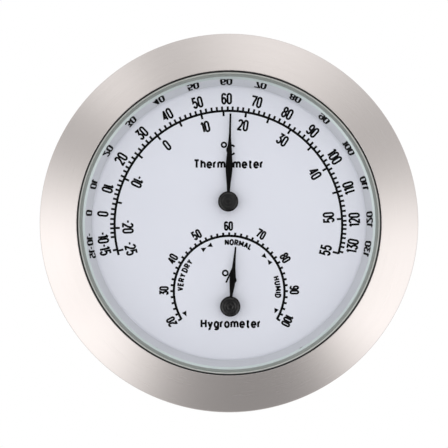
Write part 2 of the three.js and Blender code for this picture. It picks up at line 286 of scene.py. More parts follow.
def mat_ink():
    """Screen-printed black ink, slightly uneven in cover."""
    m, n, p = material("dial_ink")
    mm = object_mm(n)
    n.link(n.ramp(n.noise(mm, 4.0, 3.0), [(0.3, (0.0012, 0.0012, 0.0014)), (0.7, (0.0022, 0.0022, 0.0024))]), p.inputs["Base Color"])
    n.link(n.remap(n.noise(mm, 8.0, 2.0), 0.3, 0.7, 0.5, 0.62), p.inputs["Roughness"])
    set_inputs(p, Specular_IOR_Level=0.06)
    return m


def mat_black_paint():
    """Satin black paint on thin metal: faint orange peel and a few dust specks in the sheen."""
    m, n, p = material("black_paint")
    mm = object_mm(n)
    grain = n.noise(mm, 7.0, 4.0, 0.6)
    n.link(n.ramp(grain, [(0.3, (0.0012, 0.0010, 0.0010)), (0.7, (0.0024, 0.0020, 0.0020))]), p.inputs["Base Color"])
    n.link(n.remap(grain, 0.3, 0.7, 0.38, 0.5), p.inputs["Roughness"])
    n.link(n.bump(grain, 0.006 * MM, 0.4), p.inputs["Normal"])
    set_inputs(p, Specular_IOR_Level=0.05)
    return m


def mat_cap():
    """Moulded black hub cap: a turned finish with fine concentric marks."""
    m, n, p = material("hub_cap_black")
    mm = object_mm(n)
    grain = n.noise(mm, 5.0, 4.0, 0.65)
    n.link(n.ramp(grain, [(0.3, (0.0022, 0.0020, 0.0025)), (0.7, (0.0048, 0.0045, 0.0053))]), p.inputs["Base Color"])
    n.link(n.remap(grain, 0.3, 0.7, 0.10, 0.18), p.inputs["Roughness"])
    n.link(n.bump(grain, 0.006 * MM, 0.5), p.inputs["Normal"])
    set_inputs(p, Specular_IOR_Level=0.55)
    return m


def mat_glass():
    """Thin clear glass: it reflects by angle and lets the rest straight through with a trace of green."""
    m = bpy.data.materials.new("lens_glass")
    m.use_nodes = True
    n = Nodes(m.node_tree)
    clear = n.add("ShaderNodeBsdfTransparent")
    clear.inputs["Color"].default_value = (0.992, 0.996, 0.996, 1.0)
    gloss = n.add("ShaderNodeBsdfGlossy")
    gloss.inputs["Color"].default_value = (1.0, 1.0, 1.0, 1.0)
    mm = object_mm(n)
    n.link(n.remap(n.noise(mm, 0.12, 2.0), 0.3, 0.7, 0.004, 0.012), gloss.inputs["Roughness"])
    fresnel = n.add("ShaderNodeFresnel")
    fresnel.inputs["IOR"].default_value = 1.45
    mixed = n.add("ShaderNodeMixShader")
    outside = n.math("SUBTRACT", 1.0, n.add("ShaderNodeNewGeometry").outputs["Backfacing"])
    n.link(n.math("MULTIPLY", fresnel.outputs[0], outside), mixed.inputs[0])
    n.link(clear.outputs[0], mixed.inputs[1])
    n.link(gloss.outputs[0], mixed.inputs[2])
    n.link(mixed.outputs[0], n.add("ShaderNodeOutputMaterial").inputs["Surface"])
    return m


def mat_ground_glass():
    """Ground edge of the glass: a frosted grey-green."""
    m, n, p = material("ground_glass")
    mm = object_mm(n)
    n.link(n.ramp(n.noise(mm, 6.0, 4.0, 0.7), [(0.3, (0.58, 0.60, 0.575)), (0.7, (0.68, 0.70, 0.67))]), p.inputs["Base Color"])
    n.link(n.bump(n.noise(mm, 14.0, 3.0), 0.01 * MM, 0.5), p.inputs["Normal"])
    set_inputs(p, Roughness=0.45)
    return m


def mat_gasket():
    """Thin closed-cell foam ring."""
    m, n, p = material("gasket_foam")
    mm = object_mm(n)
    cells = n.noise(mm, 9.0, 3.0, 0.7)
    n.link(n.ramp(cells, [(0.3, (0.30, 0.325, 0.315)), (0.7, (0.37, 0.395, 0.38))]), p.inputs["Base Color"])
    n.link(n.bump(cells, 0.02 * MM, 0.6), p.inputs["Normal"])
    set_inputs(p, Roughness=0.75)
    return m


def mat_rubber():
    """Black moulded rubber with a faint bloom."""
    m, n, p = material("seal_rubber")
    mm = object_mm(n)
    bloom = n.noise(mm, 1.2, 4.0, 0.6)
    n.link(n.ramp(bloom, [(0.3, (0.010, 0.010, 0.010)), (0.7, (0.022, 0.022, 0.021))]), p.inputs["Base Color"])
    n.link(n.bump(n.noise(mm, 12.0, 3.0), 0.008 * MM, 0.5), p.inputs["Normal"])
    set_inputs(p, Roughness=0.6, Specular_IOR_Level=0.35)
    return m


def mat_abs(name="abs_black", glossy=False):
    """Moulded black ABS: a fine spark-eroded texture, with slight flow clouding in the sheen."""
    m, n, p = material(name)
    mm = object_mm(n)
    grain = n.noise(mm, 3.2, 5.0, 0.7)
    cloud = n.noise(mm, 0.05, 3.0, 0.5)
    n.link(n.ramp(cloud, [(0.3, (0.017, 0.017, 0.018)), (0.7, (0.024, 0.024, 0.025))]), p.inputs["Base Color"])
    lo, hi = (0.3, 0.38) if glossy else (0.46, 0.6)
    n.link(n.remap(grain, 0.3, 0.7, hi, lo), p.inputs["Roughness"])
    n.link(n.bump(grain, (0.005 if glossy else 0.035) * MM, 0.8), p.inputs["Normal"])
    return m


def mat_plated():
    """Zinc-plated steel: faint crystalline clouding over fine rolling lines."""
    m, n, p = material("plated_steel")
    mm = object_mm(n)
    cloud = n.noise(mm, 0.9, 4.0, 0.6)
    n.link(n.ramp(cloud, [(0.3, (0.46, 0.47, 0.48)), (0.7, (0.58, 0.585, 0.60))]), p.inputs["Base Color"])
    n.link(n.remap(n.noise(mm, 5.0, 3.0), 0.3, 0.7, 0.24, 0.38), p.inputs["Roughness"])
    n.link(n.bump(n.noise(mm, 10.0, 3.0), 0.004 * MM, 0.5), p.inputs["Normal"])
    set_inputs(p, Metallic=1.0)
    return m


def mat_brass():
    """Turned brass, a little darkened in patches; past the collar's back face it takes a dark colour, painted shade in
    the recess with some dust.
    """
    m, n, p = material("turned_brass")
    mm = object_mm(n)
    tarnish = n.noise(mm, 0.6, 4.0, 0.6)
    split = n.add("ShaderNodeSeparateXYZ")
    n.link(mm, split.inputs[0])
    # Painted shade with some dust: past the collar's back face (object Y below -2.4 mm) the brass fades to the dark
    # colour, as in a shaded recess.
    recess_shade_and_dust = n.remap(split.outputs["Y"], -2.7, -2.4, 0.0, 1.0)
    mix = n.add("ShaderNodeMix", data_type="RGBA")
    n.link(recess_shade_and_dust, mix.inputs["Factor"])
    n.link(n.ramp(tarnish, [(0.3, (0.085, 0.052, 0.020)), (0.7, (0.135, 0.088, 0.036))]), mix.inputs[6])
    n.link(n.ramp(tarnish, [(0.3, (0.50, 0.33, 0.11)), (0.7, (0.66, 0.47, 0.19))]), mix.inputs[7])
    n.link(mix.outputs[2], p.inputs["Base Color"])
    n.link(n.remap(tarnish, 0.3, 0.7, 0.36, 0.22), p.inputs["Roughness"])
    s = n.add("ShaderNodeVectorMath", operation="MULTIPLY")
    s.inputs[1].default_value = (1.0, 14.0, 1.0)
    n.link(mm, s.inputs[0])
    n.link(n.bump(n.noise(s.outputs[0], 1.0, 3.0), 0.006 * MM, 0.5), p.inputs["Normal"])
    set_inputs(p, Metallic=1.0)
    return m


def mat_strip(name, colours, metallic, roughness):
    """Rolled strip wound edge-on: lines along its length, seen as a stretch along Y."""
    m, n, p = material(name)
    mm = object_mm(n)
    s = n.add("ShaderNodeVectorMath", operation="MULTIPLY")
    s.inputs[1].default_value = (0.6, 9.0, 0.6)
    n.link(mm, s.inputs[0])
    lines = n.noise(s.outputs[0], 1.0, 4.0, 0.6)
    n.link(n.ramp(lines, [(0.3, colours[0]), (0.7, colours[1])]), p.inputs["Base Color"])
    n.link(n.remap(lines, 0.3, 0.7, roughness - 0.06, roughness + 0.06), p.inputs["Roughness"])
    n.link(n.bump(lines, 0.004 * MM, 0.6), p.inputs["Normal"])
    set_inputs(p, Metallic=metallic)
    return m


def mat_floor():
    m, n, p = material("pale_floor")
    c = n.add("ShaderNodeTexCoord").outputs["Object"]
    n.link(n.ramp(n.noise(c, 3.0, 3.0), [(0.3, (0.84, 0.84, 0.84)), (0.7, (0.88, 0.88, 0.88))]), p.inputs["Base Color"])
    set_inputs(p, Roughness=0.9, Specular_IOR_Level=0.1)
    return m


BRUSHED = mat_brushed_ring()
MIRROR = mat_mirror_ring()
RING_EDGE = mat_ring_edge()
DIAL = mat_dial()
INK = mat_ink()
PAINT = mat_black_paint()
CAP = mat_cap()
GLASS = mat_glass()
GROUND = mat_ground_glass()
GASKET = mat_gasket()
RUBBER = mat_rubber()
ABS = mat_abs()
PLATED = mat_plated()
BRASS = mat_brass()
BIMETAL = mat_strip("bimetal_strip", ((0.40, 0.37, 0.33), (0.52, 0.48, 0.43)), 1.0, 0.34)
HYGRO_STRIP = mat_strip("hygroscopic_strip", ((0.26, 0.14, 0.06), (0.38, 0.21, 0.10)), 0.2, 0.5)

BY_SLOT = {
    "brushed_steel": BRUSHED,
    "black_plastic": ABS,
    "lens_glass": GLASS,
    "gasket": GASKET,
    "black_rubber": RUBBER,
    "polished_ring": MIRROR,
    "dial_white": DIAL,
    "plated_steel": PLATED,
    "brass": BRASS,
    "bimetal": BIMETAL,
    "hygro_strip": HYGRO_STRIP,
    "black_paint": PAINT,
}
for sub in frame["record"]["subparts"]:
    node = frame["nodes"][sub["node"]]
    node.data.materials.clear()
    node.data.materials.append(BY_SLOT[sub["material_slot"]])


# ------------------------------------------------------------------ mesh helpers
def put(name, mesh, materials, body, replaces=()):
    for m in materials:
        mesh.materials.append(m)
    o = bpy.data.objects.new(name, mesh)
    scene.collection.objects.link(o)
    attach(o, body)
    if replaces:
        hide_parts(*replaces)
    return o


def to_mesh(name, bm, sharp_deg=32.0):
    """Smooth shading with the edges over sharp_deg kept crisp."""
    bmesh.ops.recalc_face_normals(bm, faces=bm.faces)
    limit = math.radians(sharp_deg)
    for f in bm.faces:
        f.smooth = True
    for e in bm.edges:
        e.smooth = len(e.link_faces) == 2 and e.calc_face_angle(0.0) < limit
    me = bpy.data.meshes.new(name)
    bm.to_mesh(me)
    bm.free()
    return me


def fillet(points, steps=5):
    """points are (r, depth) or (r, depth, radius): each corner with a radius becomes an arc."""
    out = []
    n = len(points)
    for i, p in enumerate(points):
        if len(p) < 3 or p[2] <= 0:
            out.append((p[0], p[1]))
            continue
        a, b, c = Vector(points[i - 1][:2]), Vector(p[:2]), Vector(points[(i + 1) % n][:2])
        u, v = (a - b).normalized(), (c - b).normalized()
        angle = u.angle(v)
        if angle > math.pi - 0.02:
            out.append((b.x, b.y))
            continue
        cut = min(p[2] / math.tan(angle / 2), (a - b).length * 0.49, (c - b).length * 0.49)
        radius = cut * math.tan(angle / 2)
        middle = b + (u + v).normalized() * (radius / math.sin(angle / 2))
        start, end = b + u * cut - middle, b + v * cut - middle
        turn = start.angle_signed(end)
        for k in range(steps + 1):
            t = -turn * k / steps
            co, si = math.cos(t), math.sin(t)
            out.append((middle.x + start.x * co - start.y * si, middle.y + start.x * si + start.y * co))
    return out


def curve_through(points, steps=6):
    """Catmull-Rom curve through the points, ends included."""
    out = []
    pts = [points[0]] + list(points) + [points[-1]]
    for i in range(1, len(pts) - 2):
        p0, p1, p2, p3 = (Vector(q) for q in pts[i - 1 : i + 3])
        for k in range(steps):
            t = k / steps
            out.append(
                tuple(
                    0.5 * (2 * p1 + (p2 - p0) * t + (2 * p0 - 5 * p1 + 4 * p2 - p3) * t * t + (3 * p1 - p0 - 3 * p2 + p3) * t**3)
                )
            )
    out.append(tuple(points[-1]))
    return out


def lathe(name, profile, segments, centre=(0.0, 0.0), sharp_deg=32.0, face_material=None):
    """Turns a (radius, depth) profile about an axis along Y. It closes on itself, or on the axis where its ends have radius 0."""
    bm = bmesh.new()
    open_ends = profile[0][0] == 0 and profile[-1][0] == 0
    rings = []
    for r, d in profile:
        if r == 0:
            rings.append([bm.verts.new((centre[0] * MM, -d * MM, centre[1] * MM))])
        else:
            rings.append(
                [
                    bm.verts.new(
                        (
                            (centre[0] + r * math.cos(2 * math.pi * k / segments)) * MM,
                            -d * MM,
                            (centre[1] + r * math.sin(2 * math.pi * k / segments)) * MM,
                        )
                    )
                    for k in range(segments)
                ]
            )
    pairs = list(zip(rings, rings[1:])) + ([] if open_ends else [(rings[-1], rings[0])])
    for index, (a, b) in enumerate(pairs):
        for k in range(segments):
            k2 = (k + 1) % segments
            if len(a) == 1:
                f = bm.faces.new((a[0], b[k], b[k2]))
            elif len(b) == 1:
                f = bm.faces.new((a[k], b[0], a[k2]))
            else:
                f = bm.faces.new((a[k], b[k], b[k2], a[k2]))
            if face_material:
                f.material_index = face_material(profile[index % len(profile)], profile[(index + 1) % len(profile)])
    return to_mesh(name, bm, sharp_deg)


def union_plate(name, groups, d0, d1):
    """Flat pieces from depth d0 to d1. Each group is a list of convex polygons in (x, z), which become one clean outline."""
    bm = bmesh.new()
    for polygons in groups:
        verts, faces = [], []
        for poly in polygons:
            area = sum(p[0] * q[1] - q[0] * p[1] for p, q in zip(poly, poly[1:] + poly[:1]))
            if abs(area) < 1e-9:
                continue
            poly = poly if area > 0 else poly[::-1]
            faces.append(list(range(len(verts), len(verts) + len(poly))))
            verts.extend(Vector(p) for p in poly)
        vs, _, fs, _, _, source = delaunay_2d_cdt(verts, [], faces, 0, 1e-5)
        kept = [f for f, s in zip(fs, source) if s]
        top = {}
        low = {}
        count = {}
        for f in kept:
            for a, b in zip(f, f[1:] + f[:1]):
                count[(a, b)] = count.get((a, b), 0) + 1
            for i in f:
                if i not in top:
                    top[i] = bm.verts.new((vs[i].x * MM, -d1 * MM, vs[i].y * MM))
                    low[i] = bm.verts.new((vs[i].x * MM, -d0 * MM, vs[i].y * MM))
        for f in kept:
            bm.faces.new([top[i] for i in f])
            bm.faces.new([low[i] for i in reversed(f)])
        for (a, b) in count:
            if (b, a) not in count:
                bm.faces.new((top[a], low[a], low[b], top[b]))
    bmesh.ops.dissolve_limit(bm, angle_limit=math.radians(0.5), verts=bm.verts, edges=bm.edges)
    bmesh.ops.triangulate(bm, faces=[f for f in bm.faces if len(f.verts) > 4])
    return to_mesh(name, bm, 30.0)


# ------------------------------------------------------------------ case pieces
bezel_front = curve_through(
    [(51.97, 25.5), (53, 25.27), (55, 24.76), (57, 24.17), (59, 23.49), (61, 22.71), (62.4, 22.12), (63.6, 21.52), (64.5, 21.03), (64.86, 20.74), (65, 20.3)], 4
)
bezel_back = curve_through([(64.4, 19.6), (64.1, 20.35), (63.2, 21.05), (60.75, 22.18), (56.8, 23.6), (53.6, 24.6), (53.1, 24.85)], 4)
bezel_profile = fillet([(51.8, 24.85, 0.06), (51.8, 25.5, 0.14), (51.97, 25.5)], 6)
bezel_profile = bezel_profile[:-1] + bezel_front
bezel_profile += fillet([(65, 12), (65, 9.3, 0.4), (62.6, 9.3, 0.2), (62.6, 9.88, 0.2), (64.4, 9.88, 0.05), (64.4, 12)], 4)
bezel_profile += bezel_back
put("bezel_ring_steel", lathe("bezel_ring_steel", bezel_profile, 360, sharp_deg=40), [BRUSHED], "case", ["bezel_ring"])

put(
    "lens_seal_rubber",
    lathe(
        "lens_seal_rubber",
        fillet([(51.3, 24.62, 0.05), (51.3, 25.1, 0.14), (51.72, 25.1, 0.14), (51.72, 24.8), (53, 24.8, 0.08), (53, 24.62, 0.08)], 5),
        288,
    ),
    [RUBBER],
    "case",
    ["lens_seal"],
)

LENS_R, LENS_FRONT, LENS_BACK = 51.5, 24.55, 22.55


def lens_faces(p, q):
    return 1 if max(p[0], q[0]) > LENS_R - 0.401 and min(p[0], q[0]) > LENS_R - 0.41 else 0


lens_profile = [(0, LENS_FRONT)] + [(r, LENS_FRONT) for r in (17, 34, 46)] + [
    (LENS_R - 0.25, LENS_FRONT),
    (LENS_R, LENS_FRONT - 0.25),
    (LENS_R, LENS_BACK + 0.4),
    (LENS_R - 0.4, LENS_BACK),
] + [(r, LENS_BACK) for r in (46, 34, 17)] + [(0, LENS_BACK)]
put("lens_plate_glass", lathe("lens_plate_glass", lens_profile, 288, face_material=lens_faces), [GLASS, GROUND], "case", ["lens"])

put(
    "lens_gasket_foam",
    lathe("lens_gasket_foam", fillet([(50.3, 22.03), (50.3, 22.3), (50.14, 22.36), (50.14, 22.5, 0.05), (51.6, 22.5, 0.12), (51.6, 22.03)], 4), 288),
    [GASKET],
    "case",
    ["lens_gasket"],
)

reflector = fillet([(47.7, 16.58, 0.05), (47.35, 17.65, 0.05), (49.3, 21.85), (50.0, 22.33), (50.1, 22.42, 0.04), (50.1, 16.58, 0.1)], 5)
for upper in ((50.0, 22.33), (49.3, 21.85)):  # extra rows along the cone and its bevel keep their reflections true
    i = [k for k, (r, d) in enumerate(reflector) if abs(r - upper[0]) < 1e-6 and abs(d - upper[1]) < 1e-6][0]
    foot = reflector[i - 1]
    reflector[i:i] = [(foot[0] + (upper[0] - foot[0]) * t, foot[1] + (upper[1] - foot[1]) * t) for t in (0.02, 0.25, 0.5, 0.75, 0.98)]
put(
    "reflector_ring_polished",
    lathe("reflector_ring_polished", reflector, 360, sharp_deg=8, face_material=lambda p, q: 1 if min(p[1], q[1]) > 21.84 else 0),
    [MIRROR, RING_EDGE],
    "case",
    ["reflector_ring"],
)


# ------------------------------------------------------------------ back cover and its screws
def closed_box(bm, x0, x1, d0, d1, z0, z1):
    made = bmesh.ops.create_cube(bm, size=1.0)["verts"]
    for vert in made:
        vert.co = Vector(
            (
                (x0 + x1) / 2 + vert.co.x * (x1 - x0),
                -((d0 + d1) / 2 + vert.co.y * (d1 - d0)),
                (z0 + z1) / 2 + vert.co.z * (z1 - z0),
            )
        )
        vert.co *= MM


def prism(bm, outline, d0, d1):
    """A closed prism over an (x, z) outline, from depth d0 to d1."""
    low = [bm.verts.new((x * MM, -d0 * MM, z * MM)) for x, z in outline]
    top = [bm.verts.new((x * MM, -d1 * MM, z * MM)) for x, z in outline]
    bm.faces.new(low)
    bm.faces.new(top[::-1])
    for k in range(len(low)):
        k2 = (k + 1) % len(low)
        bm.faces.new((low[k], top[k], top[k2], low[k2]))


def circle(cx, cz, r, n=48):
    return [(cx + r * math.cos(2 * math.pi * k / n), cz + r * math.sin(2 * math.pi * k / n)) for k in range(n)]


def slot(cx, cz, half, r, n=12):
    right = [(cx + half - r + r * math.cos(a), cz + r * math.sin(a)) for a in (math.radians(-90 + 180 * k / n) for k in range(n + 1))]
    left = [(cx - half + r + r * math.cos(a), cz + r * math.sin(a)) for a in (math.radians(90 + 180 * k / n) for k in range(n + 1))]
    return right + left


def keyhole(r, neck, z, top, n=36):
    """Round entry below, narrow neck above."""
    meet = math.degrees(math.acos(neck / r))
    entry = [(r * math.cos(a), z + r * math.sin(a)) for a in (math.radians(180 - meet + (180 + 2 * meet) * k / n) for k in range(n + 1))]
    end = [(neck * math.cos(a), top + neck * math.sin(a)) for a in (math.radians(180 * k / 16) for k in range(17))]
    return entry + end


def combine(mesh, tool, operation):
    """Mesh with the bmesh tool added or cut away. Both are used up."""
    bmesh.ops.recalc_face_normals(tool, faces=tool.faces)
    other = bpy.data.meshes.new("tool")
    tool.to_mesh(other)
    tool.free()
    a, b = bpy.data.objects.new("work", mesh), bpy.data.objects.new("tool", other)
    scene.collection.objects.link(a)
    scene.collection.objects.link(b)
    step = a.modifiers.new("step", "BOOLEAN")
    step.operation, step.solver, step.object = operation, "EXACT", b
    bpy.context.view_layer.update()
    result = bpy.data.meshes.new_from_object(a.evaluated_get(bpy.context.evaluated_depsgraph_get()))
    bpy.data.objects.remove(a)
    bpy.data.objects.remove(b)
    bpy.data.meshes.remove(mesh)
    bpy.data.meshes.remove(other)
    return result


def finish(name, mesh, select, width, steps=2, sharp_deg=32.0):
    """Rounds the edges that select(edge) picks, and sets the shading."""
    bm = bmesh.new()
    bm.from_mesh(mesh)
    bpy.data.meshes.remove(mesh)
    bmesh.ops.remove_doubles(bm, verts=bm.verts, dist=1e-7)
    bmesh.ops.dissolve_degenerate(bm, edges=bm.edges, dist=1e-7)
    bmesh.ops.dissolve_limit(bm, angle_limit=math.radians(0.3), verts=bm.verts, edges=bm.edges)
    picked = [e for e in bm.edges if len(e.link_faces) == 2 and e.calc_face_angle(0.0) > math.radians(50) and select(e)]
    if picked:
        bmesh.ops.bevel(bm, geom=picked, offset=width * MM, segments=steps, profile=0.5, affect="EDGES", clamp_overlap=True)
    bmesh.ops.triangulate(bm, faces=[f for f in bm.faces if len(f.verts) > 4])
    return to_mesh(name, bm, sharp_deg)


SCREWS = [(53.2 * math.cos(math.radians(a)), 53.2 * math.sin(math.radians(a))) for a in (45, 135, 225, 315)]
pan = fillet([(0, 0), (58, 0, 1.3), (58, 9.9, 0.2), (56, 9.9, 0.15), (56, 2, 0.6), (49.8, 2), (49.8, 11.6, 0.15), (48.2, 11.6, 0.15), (48.2, 2), (0, 2)], 5)
cover = lathe("cover", pan, 240)
tool = bmesh.new()
for x, z in SCREWS:
    prism(tool, circle(x, z, 3.9, 40), 1.0, 9.9)
closed_box(tool, -7.4, 7.4, 1.0, 9.4, 30.2, 49.4)
cover = combine(cover, tool, "UNION")
tool = bmesh.new()
closed_box(tool, -6, 6, 2, 8, 31.6, 48)
for x, z in SCREWS:
    prism(tool, circle(x, z, 2.75, 40), -1, 4.8)
for x, z in (THERMO, HYGRO):
    prism(tool, circle(x, z, 4.2, 56), -1, 3)
for side in (-1, 1):
    for z in range(-24, 19, 6):
        prism(tool, slot(side * 26, z + 0.02, 9, 1.1), -1, 3)
cover = combine(cover, tool, "DIFFERENCE")
tool = bmesh.new()
prism(tool, keyhole(4.5, 2.3, 37, 44.5), -1, 3)
for x, z in SCREWS:
    prism(tool, circle(x, z, 1.55, 24), 4, 11)
cover = combine(cover, tool, "DIFFERENCE")
cover = finish("back_cover_moulded", cover, lambda e: all(abs(v.co.y) < 1e-6 for v in e.verts), 0.22, 2)
put("back_cover_moulded", cover, [ABS], "case", ["back_cover"])

for number_, (x, z) in enumerate(SCREWS, 1):
    head = fillet([(0, 3.12), (1.5, 3.15, 0.8), (2.3, 3.5, 0.6), (2.4, 4.2, 0.4), (2.4, 4.72, 0.08), (1.28, 4.72), (1.28, 15.4), (0.6, 16.3), (0, 16.3)], 5)
    screw = lathe("screw", head, 48, centre=(x, z))
    tool = bmesh.new()
    cross = [(0.3, 0.3), (0.3, 1.35), (-0.3, 1.35), (-0.3, 0.3), (-1.35, 0.3), (-1.35, -0.3), (-0.3, -0.3), (-0.3, -1.35), (0.3, -1.35), (0.3, -0.3), (1.35, -0.3), (1.35, 0.3)]
    turn = math.radians(18.3 + 41 * number_)  # each was driven home at its own angle
    prism(tool, [(x + u * math.cos(turn) - v * math.sin(turn), z + u * math.sin(turn) + v * math.cos(turn)) for u, v in cross], 2.5, 4.1)
    screw = combine(screw, tool, "DIFFERENCE")
    screw = finish(f"cover_screw_{number_}_pan_head", screw, lambda e: all(-v.co.y < 3.3 * MM for v in e.verts), 0.06, 1)
    put(f"cover_screw_{number_}_pan_head", screw, [PLATED], "case", [f"cover_screw_{number_}"])


# ------------------------------------------------------------------ pointers and hub caps
def smooth_width(stations, length):
    """Half-width at a distance from the pivot, by a monotone cubic through the stations."""
    xs = [s[0] for s in stations]
    ys = [s[1] for s in stations]
    n = len(xs)
    d = [(ys[i + 1] - ys[i]) / (xs[i + 1] - xs[i]) for i in range(n - 1)]
    m = [d[0]] + [0.0 if d[i - 1] * d[i] <= 0 else 2 * d[i - 1] * d[i] / (d[i - 1] + d[i]) for i in range(1, n - 1)] + [d[-1]]
    i = max(k for k in range(n - 1) if xs[k] <= length + 1e-9)
    h = xs[i + 1] - xs[i]
    t = (length - xs[i]) / h
    return (
        (2 * t**3 - 3 * t * t + 1) * ys[i]
        + (t**3 - 2 * t * t + t) * h * m[i]
        + (-2 * t**3 + 3 * t * t) * ys[i + 1]
        + (t**3 - t * t) * h * m[i + 1]
    )


def pointer(name, pivot, deg, stations, body, node):
    """A stamped lance with a low crown along its middle, on a round eye that the hub cap covers."""
    eye, hole = 2.35, 0.78
    steps = 64
    length = stations[-1][0]
    start = stations[0][0]
    right = []
    for k in range(steps + 1):
        l = start + (length - start) * k / steps
        right.append((smooth_width(stations, l), l))
    bm = bmesh.new()
    a = math.radians(-deg)
    co, si = math.cos(a), math.sin(a)

    def v(u, l, d):
        x, z = u * co - l * si, u * si + l * co
        return bm.verts.new(((pivot[0] + x) * MM, -d * MM, (pivot[1] + z) * MM))

    # Arm: across each station five points on top (edge, shoulder, crown, shoulder, edge) and two underneath.
    rows = []
    for wdt, l in right:
        edge = min(0.07, wdt * 0.35)
        crown = min(0.10, 0.12 * wdt)
        rows.append(
            [
                v(-wdt, l, 18.12),
                v(-wdt, l, 18.34),
                v(-wdt + edge, l, 18.39),
                v(0, l, 18.39 + crown),
                v(wdt - edge, l, 18.39),
                v(wdt, l, 18.34),
                v(wdt, l, 18.12),
            ]
        )
    for p, q in zip(rows, rows[1:]):
        for i in range(7):
            j = (i + 1) % 7
            bm.faces.new((p[i], p[j], q[j], q[i]))
    bm.faces.new(rows[-1])
    # Eye: a flat ring whose outline starts and ends at the arm's first station.
    w0, l0 = right[0]
    a0 = math.atan2(l0, w0)
    turns = 48
    ring_top, ring_low, hole_top, hole_low = [], [], [], []
    for k in range(turns + 1):
        t = (math.pi - a0) + (2 * math.pi - (math.pi - 2 * a0)) * k / turns
        r = math.hypot(w0, l0)
        u, l = r * math.cos(t), r * math.sin(t)
        ring_top.append(rows[0][1] if k == 0 else rows[0][5] if k == turns else v(u, l, 18.34))
        ring_low.append(rows[0][0] if k == 0 else rows[0][6] if k == turns else v(u, l, 18.12))
        hole_top.append(v(hole * math.cos(t), hole * math.sin(t), 18.34))
        hole_low.append(v(hole * math.cos(t), hole * math.sin(t), 18.12))
    for k in range(turns):
        bm.faces.new((ring_top[k], ring_top[k + 1], hole_top[k + 1], hole_top[k]))
        bm.faces.new((ring_low[k], hole_low[k], hole_low[k + 1], ring_low[k + 1]))
        bm.faces.new((ring_top[k], ring_low[k], ring_low[k + 1], ring_top[k + 1]))
        bm.faces.new((hole_top[k], hole_top[k + 1], hole_low[k + 1], hole_low[k]))
    # The neck between the eye's hole and the arm's first station.
    bm.faces.new((hole_top[turns], ring_top[turns], rows[0][4], rows[0][3], rows[0][2], ring_top[0], hole_top[0]))
    bm.faces.new((hole_low[0], ring_low[0], ring_low[turns], hole_low[turns]))
    bm.faces.new((hole_top[0], hole_low[0], hole_low[turns], hole_top[turns]))
    me = to_mesh(name, bm, 14.0)
    return put(name, me, [PAINT], body, [node])


pointer(
    "thermo_pointer_blade",
    THERMO,
    THERMO_DEG,
    [(2.3, 0.5), (3.9, 0.55), (6.0, 0.70), (8.1, 0.92), (10.2, 1.12), (11.8, 1.20), (13.2, 1.16), (15.3, 0.98), (17.7, 0.82), (20.0, 0.62), (21.6, 0.47), (23.6, 0.37), (26.5, 0.34), (30.38, 0.32)],
    "thermo_pointer",
    "thermo_pointer",
)
pointer(
    "hygro_pointer_blade",
    HYGRO,
    HYGRO_DEG,
    [(2.3, 0.47), (4.0, 0.52), (6.1, 0.78), (8.1, 0.99), (9.5, 1.08), (10.8, 0.95), (13.4, 0.62), (15.4, 0.48), (17.5, 0.38), (20.58, 0.28)],
    "hygro_pointer",
    "hygro_pointer",
)

for prefix, pivot in (("thermo", THERMO), ("hygro", HYGRO)):
    # A low boss in the middle, a shallow turned ridge, and a rolled rim.
    cap_profile = [(0, 20.225)] + curve_through(
        [(0.4, 20.224), (0.8, 20.22), (1.1, 20.155), (1.3, 20.145), (1.75, 20.145), (2.05, 20.2), (2.25, 20.205), (2.6, 20.2), (2.9, 20.13), (3.05, 20.12), (3.2, 20.06)], 3
    )
    cap_profile += fillet([(3.2, 20.06), (3.5, 19.75, 0.2), (3.5, 18.55, 0.15), (0.85, 18.55, 0.05), (0.6, 18.8), (0.6, 19.9)], 5)[1:]
    cap_profile += [(0, 19.9)]
    put(
        f"{prefix}_hub_cap_disc",
        lathe(f"{prefix}_hub_cap_disc", cap_profile, 96, centre=pivot, sharp_deg=40, face_material=lambda p, q: 1 if min(p[0], q[0]) > 3.1 else 0),
        [CAP, PAINT],
        f"{prefix}_pointer",
        [f"{prefix}_hub_cap"],
    )


# ------------------------------------------------------------------ printing on the dial
INK_LOW, INK_TOP = DIAL_FRONT - 0.02, DIAL_FRONT + 0.03


def stroke(points, width, closed=False):
    """A line of the given width as convex pieces: a rectangle for each step, and a mitred corner on the outside of each bend."""
    pts = [Vector(p) for p in points]
    clean = [pts[0]]
    for p in pts[1:]:
        if (p - clean[-1]).length > 1e-4:
            clean.append(p)
    if closed and (clean[0] - clean[-1]).length < 1e-4:
        clean.pop()
    n, h = len(clean), width / 2
    steps = [(clean[i], clean[(i + 1) % n]) for i in range(n if closed else n - 1)]
    pieces, ways = [], []
    for a, b in steps:
        d = (b - a).normalized()
        side = Vector((-d.y, d.x)) * h
        ways.append((d, side))
        pieces.append([tuple(a + side), tuple(a - side), tuple(b - side), tuple(b + side)])
    for i in range(len(steps)):
        if i == 0 and not closed:
            continue
        (d0, s0), (d1, s1) = ways[i - 1], ways[i]
        corner = steps[i][0]
        turn = d0.x * d1.y - d0.y * d1.x
        if abs(turn) < 1e-4 and d0.dot(d1) > 0:
            continue
        o = -1.0 if turn > 0 else 1.0
        p, q = corner + s0 * o, corner + s1 * o
        middle = (s0 + s1) * o
        piece = [tuple(corner), tuple(p), tuple(q)]
        if middle.length > h * 0.9:
            reach = h / max(middle.normalized().dot((s0 * o).normalized()), 0.3)
            piece = [tuple(corner), tuple(p), tuple(corner + middle.normalized() * reach), tuple(q)]
        pieces.append(piece)
    return pieces


def arc(cx, cy, rx, ry, a0, a1, steps=10):
    return [
        (cx + rx * math.cos(math.radians(a0 + (a1 - a0) * k / steps)), cy + ry * math.sin(math.radians(a0 + (a1 - a0) * k / steps)))
        for k in range(steps + 1)
    ]


